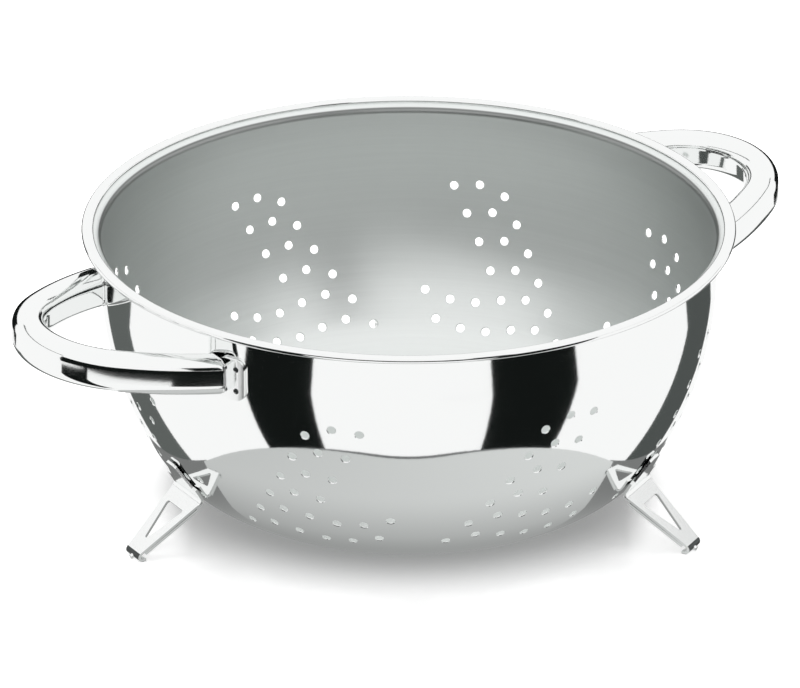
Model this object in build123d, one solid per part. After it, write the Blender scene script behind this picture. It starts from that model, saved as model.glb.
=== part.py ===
from build123d import *
from math import acos, atan2, cos, degrees, hypot, radians, sin, tan
import os

# A colander of polished steel sheet: a punched bowl, two hollow loop handles on welded
# brackets and three bent feet. Lengths are in millimetres and angles in degrees.
# The bowl is drawn about the Z axis with height 0 at the middle of its rim, and X runs
# through both handles. At the end everything is lifted so that the feet stand at height 0.

# Bowl sheet and side profile, measured on the outer face
rim_radius = 120.0
rim_overhang = 6.6
sheet = 0.6
straight_depth = 17.8
side_arc_radius = 121.7
side_arc_angle = 31.0
corner_arc_radius = 39.3
base_clearance = 6.2

# Rolled rim: the sheet flares out and curls over into a flattened hollow bead
bead_width = 4.4
bead_height = 1.9
bead_corner = 0.8
flare_height = 3.4
curl_slit = 0.5

# Punched holes: eight leaning groups of six rows, the lowest two carried on to one side
hole_radius = 1.65
hole_groups = 8
hole_rows = 6
long_rows = 2
group_turn = -2.06
first_row_depth = 31.7
row_pitch = 10.5
column_pitch = 10.05
row_lean = 5.46
column_drop_shares = {-1: 0.3, 0: 0.0, 1: 0.14, 2: 0.32, 3: 0.25, 4: -0.09}
row_twist_share = 0.016
short_row_columns = (-1, 0, 1)
seam_turn = 14.0

# Handles: hollow tube bent to a loop that rises a little towards its tip, both set a
# little towards the rear
tube_width = 12.2
tube_height = 14.0
tube_corner = 4.8
tube_wall = 0.8
handle_overhang = 34.2
handle_drop = 12.6
handle_rise_angle = 5.3
handle_turn = 1.5
tip_arc_radius = 35.0
tip_arc_angle = 56.0
shoulder_arc_radius = 110.0
shoulder_arc_angle = 18.0
end_cut_angle = 18.0
end_gap = 0.8

# Brackets: an end cap with a plug in the tube, a neck and a tab spot welded to the wall
weld_gap = 0.05
bracket_sheet = 1.2
cap_inset = 0.3
cap_corner = 4.0
plug_depth = 4.0
plug_wall = 1.0
plug_clearance = 0.15
neck_height = 10.0
tab_height = 15.6
tab_width = 11.6
tab_corner = 3.4
tab_shift = 0.6
tab_drop = 1.1
weld_shift = 3.0
weld_spacing = 8.4
weld_dimple_radius = 1.5
weld_dimple_depth = 0.55

# Feet: flat sheet with a weld flange on the bowl, a tapering leg and a curled toe
foot_count = 3
foot_turn = -1.1
foot_sheet = 1.0
flange_above_seat = 11.2
flange_below_seat = 4.8
flange_top_width = 6.0
flange_corner = 2.0
foot_width = 20.0
leg_angle = 37.0
bend_radius = 1.6
toe_width = 9.0
toe_curl_radius = 1.4
toe_pad_length = 1.4
lip_height = 2.2
lip_bend_radius = 1.0
lip_start_share = 0.12
lip_end_share = 0.95
window_start_share = 0.25
window_end_share = 0.85
window_width = 11.4
window_corner = 0.8
nub_radius = 0.9
nub_length = 0.9
nub_angle = 22.0

# One overrun for every cut
overrun = 5.0


def polar(radius, angle):
    """Point at an angle on a circle about the origin."""
    return radius * cos(radians(angle)), radius * sin(radians(angle))


# Bowl values that follow from the sizes above
wall_radius = rim_radius - rim_overhang
side_turn = radians(side_arc_angle)
side_centre_radius = wall_radius - side_arc_radius
seat_depth = straight_depth + side_arc_radius * sin(side_turn)
seat_radius = side_centre_radius + side_arc_radius * cos(side_turn)
bowl_depth = seat_depth + corner_arc_radius * (1 - sin(side_turn))
corner_centre_radius = seat_radius - corner_arc_radius * cos(side_turn)
corner_centre_depth = bowl_depth - corner_arc_radius
side_arc_length = side_arc_radius * side_turn
corner_arc_length = corner_arc_radius * (radians(90) - side_turn)
stand_height = bowl_depth + base_clearance
bead_inner_radius = rim_radius - bead_width
inner_wall_radius = wall_radius - sheet
flare_out = bead_inner_radius + sheet - inner_wall_radius
flare_arc_radius = (flare_out**2 + flare_height**2) / (2 * flare_out)
flare_bottom_depth = flare_height + bead_height / 2 - sheet


def wall_point(depth_along_wall):
    """Radius, height and slope angle of the outer face, that far down along the sheet."""
    if depth_along_wall <= straight_depth:
        return wall_radius, -depth_along_wall, 0.0
    along = depth_along_wall - straight_depth
    if along <= side_arc_length:
        turn = along / side_arc_radius
        radius = side_centre_radius + side_arc_radius * cos(turn)
        return radius, -straight_depth - side_arc_radius * sin(turn), degrees(turn)
    past_side = along - side_arc_length
    if past_side >= corner_arc_length:
        return corner_centre_radius - (past_side - corner_arc_length), -bowl_depth, 90.0
    turn = side_turn + past_side / corner_arc_radius
    radius = corner_centre_radius + corner_arc_radius * cos(turn)
    return radius, -corner_centre_depth - corner_arc_radius * sin(turn), degrees(turn)


def wall_line(inward):
    """Edges of the side profile, from the flare down to the axis, moved in by a distance."""
    side = CenterArc((side_centre_radius, -straight_depth), side_arc_radius - inward, 0, -side_arc_angle)
    corner_centre = (corner_centre_radius, -corner_centre_depth)
    corner_sweep = side_arc_angle - 90
    corner = CenterArc(corner_centre, corner_arc_radius - inward, -side_arc_angle, corner_sweep)
    base_height = -bowl_depth + inward
    upright = Line((wall_radius - inward, -flare_bottom_depth), side @ 0)
    return [upright, side, corner, Line(corner @ 1, (0, base_height))]


def bowl_section():
    """Half section of the sheet in radius and height: wall, flare and rolled bead."""
    outer = wall_line(0)
    inner = wall_line(sheet)
    closing = [Line(outer[-1] @ 1, inner[-1] @ 1), Line(outer[0] @ 0, inner[0] @ 0)]
    section = make_face(outer + inner + closing)
    flare_centre = (inner_wall_radius + flare_arc_radius, -flare_bottom_depth)
    flare_sweep = degrees(acos(1 - flare_out / flare_arc_radius))
    flare_inner = CenterArc(flare_centre, flare_arc_radius, 180, -flare_sweep)
    flare_outer = CenterArc(flare_centre, flare_arc_radius - sheet, 180, -flare_sweep)
    flare_ends = [Line(flare_inner @ 0, flare_outer @ 0), Line(flare_inner @ 1, flare_outer @ 1)]
    section += make_face([flare_inner, flare_outer] + flare_ends)
    bead = Pos(rim_radius - bead_width / 2, 0) * RectangleRounded(bead_width, bead_height, bead_corner)
    hollow_corner = max(bead_corner - sheet, bead_corner / 4)
    hollow = RectangleRounded(bead_width - 2 * sheet, bead_height - 2 * sheet, hollow_corner)
    bead -= Pos(rim_radius - bead_width / 2, 0) * hollow
    slit_radius = bead_inner_radius + 2 * sheet + curl_slit
    slit = Pos(slit_radius, -bead_height / 2) * Rectangle(curl_slit, 2 * sheet + curl_slit)
    return section + (bead - slit)


def hole_places():
    """Azimuth, and distance down along the wall, of every punched hole."""
    places = []
    middle_row = (hole_rows - 1) / 2
    for group in range(hole_groups):
        for row in range(hole_rows):
            long_row = row >= hole_rows - long_rows
            for column, drop_share in column_drop_shares.items():
                if not long_row and column not in short_row_columns:
                    continue
                twist_share = row_twist_share * column * (row - middle_row)
                down = first_row_depth + (row + drop_share + twist_share) * row_pitch
                radius = wall_point(down)[0]
                sideways = column * column_pitch - row * row_lean
                azimuth = group_turn + group * 360 / hole_groups + degrees(sideways / radius)
                places.append((azimuth, down))
    return places


def hole_cutter(azimuth, down):
    """Cylinder across the wall, square to it, where one hole is punched."""
    radius, height, slope = wall_point(down)
    across = Cylinder(hole_radius, 2 * overrun)
    return Rot(0, 0, azimuth) * Pos(radius, 0, height) * Rot(0, 90 + slope, 0) * across


def make_bowl():
    """Drawn, rolled and punched bowl. The revolved seam lies between two hole groups."""
    section = Plane.XZ * bowl_section()
    solid = Rot(0, 0, seam_turn) * revolve(section, Axis.Z, 360)
    return solid - [hole_cutter(azimuth, down) for azimuth, down in hole_places()]


# Handle values that follow from the sizes above. The loop is drawn flat, starting at its
# tip and going towards +Y, and is then tilted about the tip.
handle_reach = rim_radius + handle_overhang
tip_length = tip_arc_radius * radians(tip_arc_angle)
arcs_length = tip_length + shoulder_arc_radius * radians(shoulder_arc_angle)
arcs_angle = tip_arc_angle + shoulder_arc_angle
tip_x, tip_y = polar(tip_arc_radius - shoulder_arc_radius, tip_arc_angle)
shoulder_centre = (handle_reach - tip_arc_radius + tip_x, tip_y)
half_face = tube_width / 2 / cos(radians(end_cut_angle))
handle_tilt = Pos(handle_reach, 0, -handle_drop) * Rot(0, -handle_rise_angle, 0) * Pos(-handle_reach, 0, 0)


def tilted_x(x):
    """Distance from the axis of a point of the flat loop, once the loop is tilted."""
    return handle_reach - (handle_reach - x) * cos(radians(handle_rise_angle))


def loop_place(travel):
    """Point and heading of the loop's middle line, that far along it from the tip."""
    if travel <= tip_length:
        turn = degrees(travel / tip_arc_radius)
        x, y = polar(tip_arc_radius, turn)
        return handle_reach - tip_arc_radius + x, y, 90 + turn
    turn = min(tip_arc_angle + degrees((travel - tip_length) / shoulder_arc_radius), arcs_angle)
    x, y = polar(shoulder_arc_radius, turn)
    along_x, along_y = polar(max(travel - arcs_length, 0), 90 + turn)
    return shoulder_centre[0] + x + along_x, shoulder_centre[1] + y + along_y, 90 + turn


def inner_corner_radius(travel):
    """Distance from the bowl's axis of the inner corner of a cut across the tube there."""
    x, y, heading = loop_place(travel)
    face_x, face_y = polar(half_face, heading + end_cut_angle - 90)
    return hypot(tilted_x(x) - face_x, y - face_y)


def find_cut():
    """How far along the loop the tube ends, with its inner corner the end gap off the wall."""
    near = 0.0
    far = arcs_length + wall_radius / 2
    for _ in range(60):
        middle = (near + far) / 2
        if inner_corner_radius(middle) > wall_radius + end_gap:
            near = middle
        else:
            far = middle
    return near


cut_travel = find_cut()
cut_x, end_y, leg_heading = loop_place(cut_travel)
end_x = tilted_x(cut_x)
end_height = -handle_drop - (handle_reach - end_x) * tan(radians(handle_rise_angle))
end_heading = leg_heading + end_cut_angle


def tube_outline(inset):
    """Cross-section of the tube, moved in by a distance all round."""
    corner = max(tube_corner - inset, tube_corner / 8)
    return RectangleRounded(tube_width - 2 * inset, tube_height - 2 * inset, corner)


def end_plane(off_tube):
    """Upright plane of the tube's cut end, or one moved towards the bowl."""
    out_x, out_y = polar(1, end_heading)
    face_x, face_y = polar(1, end_heading - 90)
    origin = (end_x + out_x * off_tube, end_y + out_y * off_tube, end_height)
    return Plane(origin=origin, x_dir=(face_x, face_y, 0), z_dir=(out_x, out_y, 0))


def loop_path():
    """Middle line of one half of the loop, from its tip to past the cut end."""
    tip = CenterArc((handle_reach - tip_arc_radius, 0), tip_arc_radius, 0, tip_arc_angle)
    shoulder = CenterArc(shoulder_centre, shoulder_arc_radius, tip_arc_angle, shoulder_arc_angle)
    past_cut = max(cut_travel, arcs_length) + tube_width + overrun
    leg = Line(shoulder @ 1, loop_place(past_cut)[:2])
    return Wire([tip, shoulder, leg])


def half_tube(inset):
    """Half of the tilted loop as a solid, cut off at its end."""
    section = Plane(origin=(handle_reach, 0, 0), x_dir=(1, 0, 0), z_dir=(0, 1, 0)) * tube_outline(inset)
    solid = handle_tilt * sweep(section, loop_path())
    beyond = extrude(end_plane(0) * Rectangle(handle_reach, handle_reach), handle_reach / 2)
    return solid - beyond


def make_handle():
    """Hollow loop handle on the +X side."""
    half = half_tube(0) - half_tube(tube_wall)
    return half + mirror(half, about=Plane.XZ)


def make_bracket():
    """Bracket at the +Y end of the +X handle: cap, plug, neck and welded tab."""
    cap_outline = RectangleRounded(2 * half_face - 2 * cap_inset, tube_height - 2 * cap_inset, cap_corner)
    bracket = extrude(end_plane(0) * cap_outline, bracket_sheet)

    # The plug follows the end of the tube, so it is drawn square to the tube there
    leg_x, leg_y = polar(1, leg_heading)
    sloped_leg = (leg_x * cos(radians(handle_rise_angle)), leg_y, leg_x * sin(radians(handle_rise_angle)))
    side_x, side_y = polar(1, leg_heading - 90)
    start = (end_x + leg_x * tube_width, end_y + leg_y * tube_width)
    start_height = end_height + sloped_leg[2] * tube_width
    plug_plane = Plane(origin=(*start, start_height), x_dir=(side_x, side_y, 0), z_dir=sloped_leg)
    inset = tube_wall + plug_clearance
    plug = extrude(plug_plane * tube_outline(inset), -2 * tube_width)
    plug -= extrude(plug_plane * tube_outline(inset + plug_wall), -2 * tube_width)
    keep = extrude(end_plane(-plug_depth) * Rectangle(4 * tube_width, 4 * tube_height), plug_depth)
    bracket += plug & keep

    # The neck runs from the cap's outer edge to the wall
    middle_x, middle_y = polar(bracket_sheet / 2, end_heading)
    edge_x, edge_y = polar(half_face - cap_inset - bracket_sheet / 2, end_heading - 90)
    neck_x = end_x + middle_x + edge_x
    neck_y = end_y + middle_y + edge_y
    neck_turn = degrees(atan2(neck_y, neck_x))
    neck_length = hypot(neck_x, neck_y) - wall_radius
    neck = Pos(wall_radius + neck_length / 2, 0) * Rectangle(neck_length, bracket_sheet)
    neck += Pos(wall_radius + neck_length, 0) * Circle(bracket_sheet / 2)
    neck_solid = extrude(neck, neck_height / 2, both=True)
    bracket += Pos(0, 0, end_height) * Rot(0, 0, neck_turn) * neck_solid

    # The tab is curved to the wall, and its two spot welds leave dimples
    tab_turn = neck_turn + degrees(tab_shift / wall_radius)
    weld_turn = neck_turn + degrees(weld_shift / wall_radius)
    tab_outer = wall_radius + weld_gap + bracket_sheet
    tab_height_place = end_height - tab_drop
    skin = Pos(0, 0, tab_height_place) * Cylinder(tab_outer, tab_height + overrun)
    outline = Plane(origin=(0, 0, 0), x_dir=(0, 1, 0), z_dir=(1, 0, 0)) * RectangleRounded(
        tab_width, tab_height, tab_corner
    )
    window = extrude(outline, tab_outer + overrun)
    bracket += skin & (Pos(0, 0, tab_height_place) * Rot(0, 0, tab_turn) * window)
    dimple_radius = tab_outer + weld_dimple_radius - weld_dimple_depth
    for side in (-1, 1):
        x, y = polar(dimple_radius, weld_turn)
        place = Pos(x, y, tab_height_place + side * weld_spacing / 2)
        bracket -= place * Sphere(weld_dimple_radius)
    return bracket - Cylinder(wall_radius + weld_gap, 2 * bowl_depth)


# Foot values that follow from the sizes above. The flange lies flat against the wall where
# the side arc meets the corner arc, and headings are measured in radius and height.
flange_heading = -90 - side_arc_angle
leg_direction = -leg_angle
flange_off_wall = weld_gap + foot_sheet / 2
lip_bend_middle_radius = lip_bend_radius + foot_sheet / 2


def flange_ends():
    """Top and fold of the flange's middle line, in radius and height."""
    off_x, off_y = polar(flange_off_wall, -side_arc_angle)
    down_x, down_y = polar(1, flange_heading)
    seat = (seat_radius + off_x, -seat_depth + off_y)
    top = (seat[0] - down_x * flange_above_seat, seat[1] - down_y * flange_above_seat)
    fold = (seat[0] + down_x * flange_below_seat, seat[1] + down_y * flange_below_seat)
    return top, fold


flange_top, fold = flange_ends()
curl_height = -stand_height + toe_curl_radius + foot_sheet / 2
leg_end_height = curl_height + toe_curl_radius * cos(radians(leg_angle))
leg_length = (fold[1] - leg_end_height) / sin(radians(leg_angle))
leg_along_x, leg_along_y = polar(leg_length, leg_direction)
leg_end = (fold[0] + leg_along_x, fold[1] + leg_along_y)
curl_centre = (leg_end[0] - toe_curl_radius * sin(radians(leg_angle)), curl_height)


def foot_side_view():
    """Folded sheet seen along the tangent, with its real thickness."""
    curl = CenterArc(curl_centre, toe_curl_radius, 90 + leg_direction, -180 + leg_angle)
    pad = Line(curl @ 1, (curl_centre[0] - toe_pad_length, curl_centre[1] - toe_curl_radius))
    folded = FilletPolyline(flange_top, fold, leg_end, radius=bend_radius + foot_sheet / 2)
    lines = folded.edges() + curl.edges() + pad.edges()
    return trace(lines, foot_sheet)


def flange_outline():
    """Flange seen square on: a low trapezium with rounded upper corners."""
    above = flange_above_seat
    below = flange_below_seat + foot_sheet + bend_radius
    half_top = flange_top_width / 2
    half_low = foot_width / 2
    shape = make_face(Polyline((above, -half_top), (above, half_top), (-flange_below_seat, half_low),
                               (-below, half_low), (-below, -half_low), (-flange_below_seat, -half_low),
                               (above, -half_top)))
    corners = shape.vertices().sort_by(Axis.X)[-2:]
    return fillet(corners, flange_corner)


def half_width(share):
    """Half the width of the tapering leg, that share of the way from fold to toe."""
    return (foot_width + (toe_width - foot_width) * share) / 2


def leg_outline():
    """Leg seen square on, from the fold to past the toe."""
    start = -foot_sheet - bend_radius
    past_toe = leg_length + toe_curl_radius + foot_sheet
    half_fold = half_width(0)
    half_toe = half_width(1)
    return make_face(Polyline((start, -half_fold), (0, -half_fold), (leg_length, -half_toe),
                              (past_toe, -half_toe), (past_toe, half_toe), (leg_length, half_toe),
                              (0, half_fold), (start, half_fold), (start, -half_fold)))


def window_outline():
    """Pointed window of the leg, wide at the fold."""
    start = window_start_share * leg_length
    half_window = window_width / 2
    window = make_face(Polyline((start, -half_window), (start, half_window),
                                (window_end_share * leg_length, 0), (start, -half_window)))
    return fillet(window.vertices(), window_corner)


def leg_channel(share):
    """Cross-section of the leg there: a sheet with both edges turned down."""
    half = half_width(share) - foot_sheet / 2
    low = foot_sheet / 2 - lip_height
    bent = FilletPolyline((-half, low), (-half, 0), (half, 0), (half, low), radius=lip_bend_middle_radius)
    along_x, along_z = polar(share * leg_length, leg_direction)
    origin = (fold[0] + along_x, 0, fold[1] + along_z)
    return Plane(origin=origin, x_dir=(0, 1, 0), z_dir=(along_x, 0, along_z)) * trace(bent, foot_sheet)


def make_foot():
    """Foot on the +X side of the bowl, standing out from the wall."""
    folded = extrude(Plane.XZ * foot_side_view(), foot_width, both=True)
    up_x, up_z = polar(1, flange_heading + 180)
    out_x, out_z = polar(1, flange_heading + 90)
    seat = (fold[0] + up_x * flange_below_seat, 0, fold[1] + up_z * flange_below_seat)
    flange_plane = Plane(origin=seat, x_dir=(up_x, 0, up_z), z_dir=(out_x, 0, out_z))
    flange = folded & extrude(flange_plane * flange_outline(), foot_sheet + bend_radius, both=True)

    leg_x, leg_z = polar(1, leg_direction)
    over_x, over_z = polar(1, leg_direction + 90)
    leg_plane = Plane(origin=(fold[0], 0, fold[1]), x_dir=(leg_x, 0, leg_z), z_dir=(over_x, 0, over_z))
    curl_room = 2 * toe_curl_radius + 2 * foot_sheet + toe_pad_length
    leg = folded & extrude(leg_plane * leg_outline(), curl_room, both=True)
    lipped = loft([leg_channel(lip_start_share), leg_channel(lip_end_share)], ruled=True)
    window = extrude(leg_plane * window_outline(), foot_sheet, both=True)
    foot = flange + leg + lipped - window
    nub_x, nub_z = polar(toe_curl_radius + nub_length / 2, -nub_angle)
    nub = Rot(0, 90 + nub_angle, 0) * Cylinder(nub_radius, nub_length + foot_sheet)
    return foot + Pos(curl_centre[0] + nub_x, 0, curl_centre[1] + nub_z) * nub


def write(name, solid):
    """Lift a finished piece so that the feet stand at height 0, and write it."""
    export_step(Pos(0, 0, stand_height) * solid, f"parts/{name}.step")


def main():
    """Make every piece of the colander and write each to its own file."""
    os.makedirs("parts", exist_ok=True)
    write("bowl", make_bowl())

    # Both handles with their brackets stand a little towards the rear, +Y
    handle = Rot(0, 0, handle_turn) * make_handle()
    bracket = make_bracket()
    rear = Rot(0, 0, handle_turn) * bracket
    front = Rot(0, 0, handle_turn) * mirror(bracket, about=Plane.XZ)
    write("handle_right", handle)
    write("handle_left", mirror(handle, about=Plane.YZ))
    write("bracket_right_rear", rear)
    write("bracket_right_front", front)
    write("bracket_left_rear", mirror(rear, about=Plane.YZ))
    write("bracket_left_front", mirror(front, about=Plane.YZ))

    # The first foot stands under the left handle
    foot = make_foot()
    for index, name in enumerate(("foot_left", "foot_front", "foot_rear")):
        write(name, Rot(0, 0, 180 + foot_turn + index * 360 / foot_count) * foot)


main()
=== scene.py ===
from math import acos, atan2, cos, hypot, pi, radians, sin, tan

import bpy
from mathutils import Matrix, Vector


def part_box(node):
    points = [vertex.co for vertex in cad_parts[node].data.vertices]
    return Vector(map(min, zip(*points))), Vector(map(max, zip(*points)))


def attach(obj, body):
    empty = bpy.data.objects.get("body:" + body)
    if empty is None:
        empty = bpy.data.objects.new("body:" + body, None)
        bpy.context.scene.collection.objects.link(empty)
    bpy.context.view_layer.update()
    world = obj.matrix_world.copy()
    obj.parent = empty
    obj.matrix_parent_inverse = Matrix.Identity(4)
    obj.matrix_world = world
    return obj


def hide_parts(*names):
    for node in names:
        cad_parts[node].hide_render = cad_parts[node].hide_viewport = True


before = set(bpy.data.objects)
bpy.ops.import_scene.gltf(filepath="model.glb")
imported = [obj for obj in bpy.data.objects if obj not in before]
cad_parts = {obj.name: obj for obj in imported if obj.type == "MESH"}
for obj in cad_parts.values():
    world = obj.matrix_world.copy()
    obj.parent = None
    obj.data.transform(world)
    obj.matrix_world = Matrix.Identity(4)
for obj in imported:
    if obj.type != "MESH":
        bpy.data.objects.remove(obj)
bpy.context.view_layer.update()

bl_info = {
    "name": "Polished steel colander",
    "version": (1, 0, 0),
    "blender": (4, 5, 0),
    "location": "3D View > Sidebar > Colander",
    "description": "Dresses a punched colander with a rolled rim, loop handles and bent sheet feet",
    "category": "Add Mesh",
}

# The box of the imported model, kept from the start, and the height of the rim's middle
BEAD_HEIGHT = 0.0019
RIM_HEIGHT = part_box("bowl")[1].z - BEAD_HEIGHT / 2
BASE_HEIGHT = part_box("bowl")[0].z

UP = Vector((0, 0, 1))
ORIGIN = Vector((0, 0, 0))
JOIN_DISTANCE = 1e-6

HANDLES = ("handle_right", "handle_left")
BRACKETS = ("bracket_right_rear", "bracket_right_front", "bracket_left_rear", "bracket_left_front")
FEET = ("foot_left", "foot_front", "foot_rear")


def length(name, description, default):
    """A length in metres, as a user would change it."""
    return bpy.props.FloatProperty(name=name, description=description, default=default, min=0,
                                   precision=5, subtype="DISTANCE", unit="LENGTH")


def angle(name, description, default):
    """An angle, given in degrees."""
    return bpy.props.FloatProperty(name=name, description=description, default=radians(default),
                                   subtype="ANGLE", unit="ROTATION")


def count(name, description, default):
    """A whole number of things."""
    return bpy.props.IntProperty(name=name, description=description, default=default, min=0)


def share(name, description, default):
    """A number without a unit."""
    return bpy.props.FloatProperty(name=name, description=description, default=default, precision=4)


def colour(name, description, default):
    """A linear colour."""
    return bpy.props.FloatVectorProperty(name=name, description=description, default=default,
                                         subtype="COLOR", size=3, min=0, max=1)


class BowlSettings(bpy.types.PropertyGroup):
    rim_radius: length("Rim radius", "Outer radius of the rolled rim", 0.120)
    wall_radius: length("Wall radius", "Outer radius of the straight upper wall", 0.1134)
    sheet: length("Sheet", "Thickness of the bowl's sheet", 0.0006)
    straight_depth: length("Straight depth", "Depth of the straight wall below the rim", 0.0178)
    side_radius: length("Side radius", "Radius of the side's arc in profile", 0.1217)
    side_turn: angle("Side turn", "Angle that the side's arc turns through", 31)
    corner_radius: length("Corner radius", "Radius of the arc between side and base", 0.0393)
    bead_width: length("Bead width", "Width of the rolled bead", 0.0044)
    bead_corner: length("Bead corner", "Rounding of the bead's edges", 0.0008)
    flare_radius: length("Flare radius", "Inner radius of the flare below the bead", 0.0034)
    slit: length("Curl slit", "Gap between the curled edge and the flare", 0.0005)
    steps: count("Steps", "Faces round the bowl", 288)


class HoleSettings(bpy.types.PropertyGroup):
    radius: length("Hole radius", "Radius of a punched hole", 0.00165)
    edge: length("Hole edge", "Width of the softened edge of a hole", 0.00018)
    groups: count("Groups", "Leaning groups round the bowl", 8)
    rows: count("Rows", "Rows of holes in a group", 6)
    long_rows: count("Long rows", "Lowest rows that are carried on to one side", 2)
    group_turn: angle("Group turn", "Azimuth of the first group", -2.06)
    first_row: length("First row", "Distance of the first row down the wall", 0.0317)
    row_pitch: length("Row pitch", "Distance between rows down the wall", 0.0105)
    column_pitch: length("Column pitch", "Distance between columns round the wall", 0.01005)
    row_lean: length("Row lean", "Sideways shift from each row to the next", 0.00546)
    row_twist: share("Row twist", "Share of the row pitch that turns the rows down the wall", 0.016)
    sides: count("Sides", "Faces round one hole", 18)


class HandleSettings(bpy.types.PropertyGroup):
    reach: length("Reach", "Distance of the tip's middle line from the bowl's axis", 0.1542)
    drop: length("Drop", "Depth of the tip below the rim", 0.0126)
    rise: angle("Rise", "Slope of the loop up towards its tip", 5.3)
    turn: angle("Turn", "Turn of each handle towards the rear", 1.5)
    width: length("Tube width", "Width of the tube seen from above", 0.0122)
    height: length("Tube height", "Height of the tube", 0.014)
    corner: length("Tube corner", "Rounding of the tube", 0.0048)
    wall: length("Tube wall", "Thickness of the tube's wall", 0.0008)
    tip_radius: length("Tip radius", "Radius of the loop's tip", 0.035)
    tip_turn: angle("Tip turn", "Angle of the tip's arc on each side", 56)
    shoulder_radius: length("Shoulder radius", "Radius of the loop's shoulders", 0.110)
    shoulder_turn: angle("Shoulder turn", "Angle of a shoulder's arc", 18)
    end_x: length("End X", "X of the middle of the tube's cut end", 0.107763)
    end_y: length("End Y", "Y of the middle of the tube's cut end", 0.043566)
    end_heading: angle("End heading", "Direction that the cut end faces", 182)
    edge: length("Edge", "Rounding of the tube's cut edge", 0.00015)


class FinishSettings(bpy.types.PropertyGroup):
    mirror: colour("Mirror steel", "Colour of the mirror polish", (0.925, 0.935, 0.93))
    satin: colour("Satin steel", "Colour of the brushed inside", (0.655, 0.675, 0.665))
    # Painted shade: a dark colour laid on the weld dimples and the toes' bends where shade falls
    painted_shade: colour("Painted shade steel", "Colour of the weld dimples and the toes' bends", (0.075, 0.08, 0.08))
    sheet_edge: length("Sheet edge", "Rounding of the edges of brackets and feet", 0.0002)
    tab_face: length("Tab face", "Radius of the outer face of the welded tabs", 0.11465)
    weld_turn: angle("Weld turn", "Azimuth of a tab's spot welds from the handle's middle", 26.15)
    weld_height: length("Weld height", "Height of the middle between a tab's two welds", 0.08773)
    weld_spacing: length("Weld spacing", "Distance between a tab's two welds", 0.0084)
    dimple_radius: length("Dimple radius", "Radius of the round bottom of a weld's dimple", 0.0015)
    dimple_depth: length("Dimple depth", "Depth of a weld's dimple", 0.00055)
    toe_place: length("Toe place", "Distance of the toe's bend from the bowl's axis", 0.11685)
    toe_bend: length("Toe bend", "Outer radius of the toe's bend", 0.0019)


class StageSettings(bpy.types.PropertyGroup):
    camera_place: bpy.props.FloatVectorProperty(
        name="Camera place", description="Where the camera stands", subtype="TRANSLATION",
        unit="LENGTH", default=(-1.25703, -1.93565, 1.12648))
    camera_aim: bpy.props.FloatVectorProperty(
        name="Camera aim", description="Point in the middle of the picture", subtype="TRANSLATION",
        unit="LENGTH", default=(-0.01253, -0.01350, 0.06569))
    camera_lens: share("Camera lens", "Focal length in millimetres on a 36 mm sensor", 309.5)
    camera_azimuth: angle("Camera azimuth", "Direction of the camera from the bowl", 237)
    floor_size: length("Floor size", "Side of the floor", 12)
    lamp_size: length("Lamp size", "Width of the round lamp overhead", 0.9)
    lamp_power: share("Lamp power", "Power of the lamp in watts", 22)
    lamp_place: bpy.props.FloatVectorProperty(
        name="Lamp place", description="Where the lamp hangs", subtype="TRANSLATION",
        unit="LENGTH", default=(0, 0.15, 1.6))


# Selecting and drawing


def clear_selection():
    """Leave nothing selected, in object mode."""
    if bpy.context.object and bpy.context.object.mode != "OBJECT":
        bpy.ops.object.mode_set(mode="OBJECT")
    bpy.ops.object.select_all(action="DESELECT")


def take(piece):
    """Select one object alone and make it active."""
    clear_selection()
    piece.select_set(True)
    bpy.context.view_layer.objects.active = piece


def edit(piece, whole=True):
    """Open a piece in edit mode with all or nothing of it selected."""
    take(piece)
    bpy.ops.object.mode_set(mode="EDIT")
    bpy.ops.mesh.select_mode(type="VERT")
    bpy.ops.mesh.select_all(action="SELECT" if whole else "DESELECT")


def object_mode():
    bpy.ops.object.mode_set(mode="OBJECT")


def pick_faces(piece, wanted):
    """Select the faces that a test picks, and leave the piece in edit mode by faces."""
    edit(piece, whole=False)
    bpy.ops.mesh.select_mode(type="FACE")
    object_mode()
    for face in piece.data.polygons:
        face.select = wanted(face)
    bpy.ops.object.mode_set(mode="EDIT")


def pick_corners(piece, wanted):
    """Select the vertices whose place a test picks, and leave the piece in edit mode."""
    edit(piece, whole=False)
    object_mode()
    for corner in piece.data.vertices:
        corner.select = wanted(corner.co)
    bpy.ops.object.mode_set(mode="EDIT")


def draw_line(name, start, moves):
    """An open line of edges in the XZ plane, from straight runs and arcs about a centre."""
    clear_selection()
    bpy.ops.mesh.primitive_plane_add(size=0.001)
    piece = bpy.context.object
    piece.name = name
    piece.data.name = name
    bpy.ops.object.mode_set(mode="EDIT")
    bpy.ops.mesh.merge(type="CENTER")
    here = Vector((start[0], 0, start[1]))
    bpy.ops.transform.translate(value=here)
    for move in moves:
        if len(move) == 2:
            there = Vector((move[0], 0, move[1]))
            bpy.ops.mesh.extrude_region_move(TRANSFORM_OT_translate={"value": there - here})
            here = there
        else:
            centre_place, turn, steps = move
            centre = Vector((centre_place[0], 0, centre_place[1]))
            bpy.ops.mesh.spin(steps=steps, angle=turn, center=centre, axis=(0, 1, 0))
            here = centre + Matrix.Rotation(-turn, 3, "Y") @ (here - centre)
    return piece


def apply_modifier(piece, kind, **values):
    """Add a modifier with these values and apply it."""
    take(piece)
    modifier = piece.modifiers.new(kind.lower(), kind)
    for name, value in values.items():
        setattr(modifier, name, value)
    bpy.ops.object.modifier_apply(modifier=modifier.name)


def copy_of(piece, name):
    """A separate copy with its own mesh."""
    twin = piece.copy()
    twin.data = piece.data.copy()
    twin.name = name
    twin.data.name = name
    bpy.context.scene.collection.objects.link(twin)
    return twin


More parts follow.
